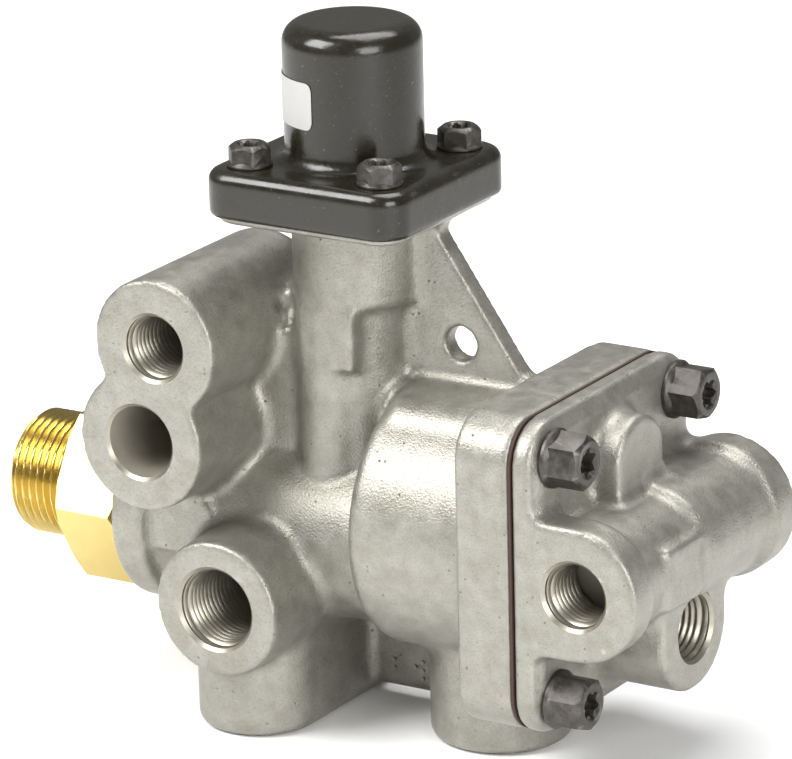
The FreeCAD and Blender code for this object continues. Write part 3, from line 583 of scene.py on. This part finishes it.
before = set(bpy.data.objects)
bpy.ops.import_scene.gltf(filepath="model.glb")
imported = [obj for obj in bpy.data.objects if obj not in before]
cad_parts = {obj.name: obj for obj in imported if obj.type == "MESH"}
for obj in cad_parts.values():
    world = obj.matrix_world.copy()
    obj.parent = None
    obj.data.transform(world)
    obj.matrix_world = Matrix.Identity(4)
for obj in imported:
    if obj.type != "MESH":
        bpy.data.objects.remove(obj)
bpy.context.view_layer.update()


@dataclass
class Castings:
    """The housing and the end cover, with soft cast skins and crisp ports."""

    housing_ports: list[Port] = field(
        default_factory=lambda: [
            Port("upper_port", (39.5, FACE_Y, 44.3), Along.BACK, 6.86, 30, 1.411),
            Port("lower_bore", (35.3, FACE_Y, 23.5), Along.BACK, 7.65, 34),
            Port("delivery_port", (52.5, FACE_Y, -10.0), Along.BACK, 8.57, 30, 1.411),
        ]
    )
    cover_ports: list[Port] = field(
        default_factory=lambda: [
            Port("front_port", (136.7, -32.5, AXIS_Z), Along.BACK, 6.86, 14, 1.411),
            Port("supply_port", (146.0, 0.8, -9.0), Along.LEFT, 6.86, 12, 1.411),
        ]
    )
    voxel: float = 0.55
    inner_fillet: float = 2.0
    outer_round: float = 0.9
    pad_height: float = 0.45
    rib_face: float = 5.0
    dot_r: float = 0.45
    dot_spots: tuple[tuple[float, float], ...] = (
        (71.4, -30.4), (71.4, -32.2), (78.3, -30.0), (76.5, -31.2), (78.3, -31.8), (78.3, -33.6)
    )

    def mark_ports(self, cast: bpy.types.Object, ports: list[Port]) -> None:
        """Give the cut faces in and round each port the machined finish, and the deep ends the dark one."""
        mesh = cast.data
        centres = np.empty(len(mesh.polygons) * 3)
        mesh.polygons.foreach_get("center", centres)
        centres = centres.reshape(-1, 3) / MM
        kinds = np.zeros(len(mesh.polygons), np.int32)
        for port in ports:
            away = (centres - np.array(port.at)) @ np.array(port.along.value)
            radial, deep = np.hypot(away[:, 0], away[:, 1]), away[:, 2]
            inside = (radial < port.radius + 0.72) & (deep > -0.2) & (deep < port.depth + 1)
            kinds[inside] = 1 if port.pitch else 2
            kinds[inside & (deep > port.depth - 1.2)] = 2
            kinds[inside & (deep < 0.8)] = 1
        mesh.polygons.foreach_set("material_index", kinds)

    def skin(
        self,
        node: str,
        name: str,
        ports: list[Port],
        plates: list[bpy.types.Object],
        pads: list[bpy.types.Object],
        faces: int,
    ) -> bpy.types.Object:
        """Round one casting with its bare plates, raise its marks and cut its ports.

        Args:
            node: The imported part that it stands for.
            name: The piece's name.
            ports: The ways that stay crisp.
            plates: Flat plates that are cast on.
            pads: Bars that mark where the skin rises.
            faces: The most triangles of the skin.

        Returns:
            The casting.
        """
        cast = copy_node(node, name)
        for port in ports:
            boolean(cast, port.plug(), "UNION")
        for plate in plates:
            boolean(cast, plate, "UNION")
        filleted(cast, self.voxel, self.inner_fillet, self.outer_round, faces)
        if pads:
            raise_patches(cast, pads, self.voxel, self.pad_height)
        for port in ports:
            boolean(cast, port.cutter(), "DIFFERENCE")
        smooth(cast)
        return cast

    def build(self) -> None:
        """Make both castings and their threads."""
        plates = [
            block("column_plate", (61.6, -13.1, 38.2), (74.4, -4.0, 50.4), 0.2),
            block("barrel_plate", (27.0, -19.7, -5.0), (42.6, -12.0, 6.4), 0.2),
        ]
        pads = []
        for x, z in self.dot_spots:
            dot = lathe("dot", [(0, -6), (self.dot_r, -6), (self.dot_r, 6), (0, 6)], 16)
            set_in(dot, (x, self.rib_face, z), Along.BACK)
            pads.append(dot)
        housing = self.skin("body_casting", "housing", self.housing_ports, plates, pads, 170000)
        dress(housing, CAST, "housing", "cast_aluminium", MACHINED, BORE)
        self.mark_ports(housing, self.housing_ports)
        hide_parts("body_casting")
        plates = [block("cover_plate", (140.0, -15.2, -0.4), (149.3, -2.9, 13.0), 0.2)]
        cover = self.skin("end_cover", "cover", self.cover_ports, plates, [], 110000)
        dress(cover, CAST, "housing", "cast_aluminium", MACHINED, BORE)
        self.mark_ports(cover, self.cover_ports)
        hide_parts("end_cover")
        for port in self.housing_ports + self.cover_ports:
            if port.pitch:
                thread = port.thread()
                smooth(thread, 60)
                dress(thread, MACHINED, "housing", "cast_aluminium")
        LOG.info("castings: housing, cover and their threads")


def prism(name: str, outline: list[tuple[float, float]], low: float, high: float) -> bpy.types.Object:
    """A straight bar with a closed outline, in millimetres.

    Args:
        name: The object's name.
        outline: Its corners in order, in the plane across the Z axis.
        low: Where it starts along Z.
        high: Where it ends along Z.

    Returns:
        The bar.
    """
    count = len(outline)
    points = [(x, y, low) for x, y in outline] + [(x, y, high) for x, y in outline]
    faces = [tuple(range(count)), tuple(range(count, 2 * count))]
    faces += [(i, (i + 1) % count, count + (i + 1) % count, count + i) for i in range(count)]
    return poly_object(name, np.array(points), faces)


def block(
    name: str, low: tuple[float, float, float], high: tuple[float, float, float], soft: float
) -> bpy.types.Object:
    """A box between two corners with bevelled edges, in millimetres."""
    outline = [(low[0], low[1]), (high[0], low[1]), (high[0], high[1]), (low[0], high[1])]
    thing = prism(name, outline, low[2], high[2])
    edge = thing.modifiers.new("edge", "BEVEL")
    edge.width = soft * MM
    edge.segments = 3
    apply_modifiers(thing)
    return thing


def hexagon(flat: float) -> list[tuple[float, float]]:
    """Corners of a hexagon with two flats across Y, in millimetres."""
    radius = flat / math.sqrt(3)
    return [(radius * math.cos(math.radians(60 * i)), radius * math.sin(math.radians(60 * i))) for i in range(6)]


def six_lobes(outer: float, inner: float, sides: int = 72) -> list[tuple[float, float]]:
    """Outline of a six-lobe recess, in millimetres."""
    middle, swing = (outer + inner) / 2, (outer - inner) / 2
    outline = []
    for step in range(sides):
        turn = 2 * math.pi * step / sides
        radius = middle + swing * math.cos(6 * turn)
        outline.append((radius * math.cos(turn), radius * math.sin(turn)))
    return outline


@dataclass
class Screws:
    """Hexagon screws with a washer face and a six-lobe recess, four of one size. Sizes in millimetres."""

    node: str
    flat: float
    head: float
    washer_r: float
    washer: float
    shank_r: float
    length: float
    lobe_r: float
    spots: list[tuple[float, float, float]]
    along: Along
    turns: tuple[float, ...] = (12.0, 37.0, 51.0, 20.0)

    def one(self, number: int) -> bpy.types.Object:
        """Make one screw at its place.

        Args:
            number: Which of the four it is.

        Returns:
            The screw.
        """
        corner = self.flat / math.sqrt(3)
        head = prism("screw", hexagon(self.flat), 0.1, self.head)
        crown = lathe(
            "crown",
            [
                (0, 0),
                (corner + 0.2, 0),
                (corner + 0.2, self.head - 1.15),
                (corner - 1.25, self.head),
                (0, self.head),
            ],
        )
        boolean(head, crown, "INTERSECT")
        collar = lathe(
            "collar",
            [
                (0, 0),
                (self.washer_r - 0.1, 0),
                (self.washer_r, 0.15),
                (self.washer_r, self.washer * 0.55),
                (self.washer_r - 0.25, self.washer * 0.8),
                (corner - 0.7, self.washer + 0.35),
                (0, self.washer + 0.35),
            ],
        )
        boolean(head, collar, "UNION")
        lobes = six_lobes(self.lobe_r, self.lobe_r * 0.7)
        boolean(head, prism("recess", lobes, self.head - 2.6, self.head + 1), "DIFFERENCE")
        low, high = self.head - 0.45, self.head + 0.1
        lead = lathe("lead", [(0, low), (self.lobe_r * 0.86, low), (self.lobe_r + 0.35, high), (0, high)])
        boolean(head, lead, "DIFFERENCE")
        shank = lathe("shank", [(0, -self.length), (self.shank_r, -self.length), (self.shank_r, 0.2), (0, 0.2)], 48)
        boolean(head, shank, "UNION")
        soft = head.modifiers.new("soft", "BEVEL")
        soft.width = 0.18 * MM
        soft.segments = 2
        soft.limit_method = "ANGLE"
        soft.angle_limit = math.radians(28)
        apply_modifiers(head)
        head.data.transform(Matrix.Rotation(math.radians(self.turns[number]), 4, "Z"))
        set_in(head, self.spots[number], self.along)
        head.name = f"{self.node}_{number + 1}"
        smooth(head, 40)
        return head

    def build(self) -> None:
        """Make the four screws."""
        for number in range(4):
            screw = dress(self.one(number), OXIDE, "housing", "black_steel")
            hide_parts(self.node)
        LOG.info("screws: four %s", self.node)


@dataclass
class Nipple:
    """The brass nipple: coarse tapered thread, thread relief, hexagon and shank. Sizes in millimetres."""

    crest: float = 13.4
    tip: float = -13.5
    thread_end: float = 2.2
    pitch: float = 1.814
    depth: float = 1.15
    hexagon_start: float = 3.0
    hexagon_end: float = 18.5
    flat: float = 36.0
    bevel: float = 2.2
    bore: float = 8.5
    shank_r: float = 13.4
    shank_end: float = 33.0

    def threaded(self) -> bpy.types.Object:
        """The threaded end, a closed solid with a helical surface."""
        sides, step = 144, self.pitch / 14
        rows = int((self.thread_end - self.tip) / step)
        points, faces = [], []
        for row in range(rows + 1):
            along = self.tip + (self.thread_end - self.tip) * row / rows
            lead = min(1.0, (along - self.tip) / 1.6)
            for side in range(sides):
                phase = (along / self.pitch - side / sides) % 1.0
                wave = abs(2 * phase - 1)
                tooth = min(1.0, max(0.0, (wave - 0.1) / 0.8))
                radius = self.crest - self.depth * (1 - tooth)
                radius = min(radius, self.crest - 1.3 * (1 - lead))
                turn = 2 * math.pi * side / sides
                points.append((radius * math.cos(turn), radius * math.sin(turn), along))
        for row in range(rows):
            for side in range(sides):
                a, b = row * sides + side, row * sides + (side + 1) % sides
                faces.append((a, b, b + sides, a + sides))
        faces.append(tuple(range(sides)))
        faces.append(tuple(range(rows * sides, (rows + 1) * sides)))
        return poly_object("nipple", np.array(points), faces)

    def build(self) -> None:
        """Make the nipple and cut its bore."""
        nipple = self.threaded()
        corner = self.flat / math.sqrt(3)
        nut = prism("nut", hexagon(self.flat), self.hexagon_start, self.hexagon_end)
        nut.data.transform(Matrix.Rotation(math.radians(90), 4, "Z"))
        crown = lathe(
            "crown",
            [
                (0, self.hexagon_start),
                (corner - self.bevel, self.hexagon_start),
                (corner + 0.1, self.hexagon_start + 0.58 * self.bevel),
                (corner + 0.1, self.hexagon_end - 0.58 * self.bevel),
                (corner - self.bevel, self.hexagon_end),
                (0, self.hexagon_end),
            ],
            192,
        )
        boolean(nut, crown, "INTERSECT")
        core = lathe(
            "core",
            [
                (0, self.thread_end - 0.6),
                (self.crest - self.depth, self.thread_end - 0.6),
                (self.crest - self.depth, self.hexagon_start + 0.2),
                (self.shank_r, self.hexagon_start + 0.2),
                (self.shank_r, self.shank_end),
                (0, self.shank_end),
            ],
            144,
        )
        boolean(nipple, core, "UNION")
        boolean(nipple, nut, "UNION")
        way = lathe(
            "way",
            [
                (0, self.tip - 1),
                (self.bore + 0.9, self.tip - 1),
                (self.bore + 0.9, self.tip + 0.02),
                (self.bore, self.tip + 0.9),
                (self.bore, self.shank_end + 1),
                (0, self.shank_end + 1),
            ],
        )
        boolean(nipple, way, "DIFFERENCE")
        set_in(nipple, (0.0, 0.0, 0.0), Along.RIGHT)
        nipple.name = "brass_nipple"
        smooth(nipple, 25)
        dress(nipple, BRASS, "housing", "brass")
        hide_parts("reservoir_nipple")
        LOG.info("nipple: thread, hexagon and bore")


@dataclass
class Cap:
    """The black spring cap with its blank label. Sizes in millimetres."""

    x: float = 68.0
    dome_r: float = 14.4
    label_low: float = 88.7
    label_high: float = 98.5
    label_from: float = -94.0
    label_to: float = -178.0
    corner: float = 1.6

    def label(self) -> bpy.types.Object:
        """A thin blank label with round corners, wrapped on the dome."""
        radius = self.dome_r + 0.1
        width = math.radians(self.label_from - self.label_to) * radius
        height = self.label_high - self.label_low
        work = bmesh.new()
        columns, rows = 60, 8
        grid = [[None] * (rows + 1) for _ in range(columns + 1)]
        for column in range(columns + 1):
            across = width * column / columns
            cut = 0.0
            for edge in (across, width - across):
                if edge < self.corner:
                    cut = self.corner - math.sqrt(max(0.0, self.corner**2 - (self.corner - edge) ** 2))
            for row in range(rows + 1):
                up = self.label_low + cut + (height - 2 * cut) * row / rows
                turn = math.radians(self.label_to) + across / radius
                grid[column][row] = work.verts.new(
                    (
                        (self.x + radius * math.cos(turn)) * MM,
                        radius * math.sin(turn) * MM,
                        up * MM,
                    )
                )
        for column in range(columns):
            for row in range(rows):
                near, far = grid[column], grid[column + 1]
                work.faces.new((near[row], far[row], far[row + 1], near[row + 1]))
        mesh = bpy.data.meshes.new("cap_label")
        work.to_mesh(mesh)
        work.free()
        thing = mesh_object("cap_label", mesh)
        thick = thing.modifiers.new("thick", "SOLIDIFY")
        thick.thickness = 0.12 * MM
        thick.offset = 0.0
        apply_modifiers(thing)
        smooth(thing, 40)
        return thing

    def build(self) -> None:
        """Round the cap's cast edges and add the label."""
        cap = copy_node("spring_cap", "painted_cap")
        filleted(cap, 0.4, 2.2, 0.9, 90000)
        smooth(cap)
        dress(cap, PAINT, "housing", "black_paint")
        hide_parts("spring_cap")
        dress(self.label(), LABEL, "housing", "black_paint")
        LOG.info("cap: painted cap and blank label")


@dataclass
class InnerParts:
    """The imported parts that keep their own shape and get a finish."""

    finishes: dict[str, Finish] = field(
        default_factory=lambda: {
            "cover_gasket": FIBRE,
            "control_piston": MACHINED,
            "control_piston_seal": RUBBER,
            "stem_guide": BRASS,
            "stem_seal": RUBBER,
            "inlet_valve": RUBBER,
            "protection_piston": MACHINED,
            "protection_seal": RUBBER,
            "spring_washer": WIRE,
            "shuttle": BRASS,
            "rear_plug": MACHINED,
            "rear_plug_seal": RUBBER,
            "retaining_ring": WIRE,
            "exhaust_flap": RUBBER,
            "exhaust_carrier": NYLON,
        }
    )

    def build(self) -> None:
        """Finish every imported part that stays."""
        for node, finish in self.finishes.items():
            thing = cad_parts[node]
            thing.data.materials.clear()
            thing.data.materials.append(finish.material())
        LOG.info("inner parts: %d finishes", len(self.finishes))


@dataclass
class Coils:
    """The coil springs, which in the real valve shorten as their pistons move.

    Each row holds the spring, the joint that presses it, its axis, the end that stands still and the stroke
    in millimetres.
    """

    rows: list[tuple[str, str, int, int, float]] = field(
        default_factory=lambda: [
            ("protection_spring", "protection_piston_slide", 2, 1, 3.0),
            ("piston_return_spring", "control_piston_slide", 0, 0, 5.0),
            ("inlet_valve_spring", "inlet_valve_slide", 0, 0, 3.0),
        ]
    )

    def build(self) -> None:
        """Copy each spring, give it its finish and hide the imported one."""
        for node, joint, axis, still, stroke in self.rows:
            coil = copy_node(node, node + "_wire")
            smooth(coil)
            dress(coil, WIRE, "housing", "spring_steel")
            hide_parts(node)
            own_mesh(coil)
        LOG.info("coils: %d springs", len(self.rows))


@dataclass
class Studio:
    """The floor, soft lights and the camera at the photograph's angle."""

    target: tuple[float, float, float] = (76.5, 0.0, 33.5)
    azimuth: float = 32.0
    elevation: float = 18.0
    roll: float = 1.4
    distance: float = 1200.0
    lens: float = 265.6
    floor_z: float = -39.5

    def camera(self) -> None:
        """Place the camera."""
        a, e, r = (math.radians(v) for v in (self.azimuth, self.elevation, self.roll))
        back = Vector((math.sin(a) * math.cos(e), -math.cos(a) * math.cos(e), math.sin(e)))
        right = Vector((math.cos(a), math.sin(a), 0.0))
        up = back.cross(right)
        tilted_right = right * math.cos(r) - up * math.sin(r)
        tilted_up = back.cross(tilted_right)
        place = Vector(self.target) + back * self.distance
        data = bpy.data.cameras.new("photo_camera")
        data.lens = self.lens
        data.sensor_width = 36.0
        data.sensor_fit = "HORIZONTAL"
        data.clip_start = 0.05
        data.clip_end = 20.0
        thing = bpy.data.objects.new("photo_camera", data)
        bpy.context.scene.collection.objects.link(thing)
        turn = Matrix((tilted_right, tilted_up, back)).transposed().to_4x4()
        thing.matrix_world = Matrix.Translation(place * MM) @ turn
        bpy.context.scene.camera = thing

    def light(self, name: str, at: tuple[float, float, float], size: float, power: float) -> None:
        """Add one soft area light aimed at the valve.

        Args:
            name: The light's name.
            at: Its place, in millimetres.
            size: Its side, in millimetres.
            power: Its power, in watts.
        """
        data = bpy.data.lights.new(name, "AREA")
        data.shape = "SQUARE"
        data.size = size * MM
        data.energy = power
        thing = bpy.data.objects.new(name, data)
        bpy.context.scene.collection.objects.link(thing)
        aim = (Vector(self.target) - Vector(at)).to_track_quat("-Z", "Y")
        thing.matrix_world = Matrix.Translation(Vector(at) * MM) @ aim.to_matrix().to_4x4()

    def build(self) -> None:
        """Make the floor, the lights, the world and the camera."""
        half, level = 4000.0, self.floor_z - 0.05
        corners = [(x * half, y * half, level) for x, y in ((-1, -1), (1, -1), (1, 1), (-1, 1))]
        floor = poly_object("floor", np.array(corners), [(0, 1, 2, 3)])
        floor.data.materials.append(
            Finish("studio_floor", ("#fbfbfb", "#ffffff"), 0.0, 0.7, 0.02, 50.0, 5.0, 0.01).material()
        )
        self.light("key", (-400.0, -600.0, 750.0), 600.0, 15.5)
        self.light("fill", (850.0, -450.0, 350.0), 500.0, 6.5)
        self.light("top", (100.0, 250.0, 850.0), 600.0, 7.5)
        world = bpy.data.worlds.new("studio")
        world.use_nodes = True
        world.node_tree.nodes["Background"].inputs["Color"].default_value = linear("#ffffff")
        world.node_tree.nodes["Background"].inputs["Strength"].default_value = 0.26
        bpy.context.scene.world = world
        bpy.context.scene.view_settings.view_transform = "Standard"
        self.camera()
        LOG.info("studio: floor, lights and camera")


def main() -> None:
    """Build the sub-assemblies in order."""
    Studio().build()
    InnerParts().build()
    Coils().build()
    Castings().build()
    Cap().build()
    Nipple().build()
    Screws(
        "cover_screws", 10.0, 8.0, 6.1, 1.4, 3.0, 16.0, 3.1,
        [(128.3, a * 24.75, AXIS_Z + b * 25.5) for a, b in ((-1, -1), (1, -1), (-1, 1), (1, 1))],
        Along.RIGHT,
    ).build()
    Screws(
        "cap_screws", 8.0, 4.6, 4.7, 0.9, 2.5, 9.0, 2.4,
        [(68.0 + a * 15.5, b * 15.5, CAP_SCREW_Z) for a, b in ((-1, -1), (1, -1), (-1, 1), (1, 1))],
        Along.UP,
    ).build()


if __name__ == "__main__":
    main()
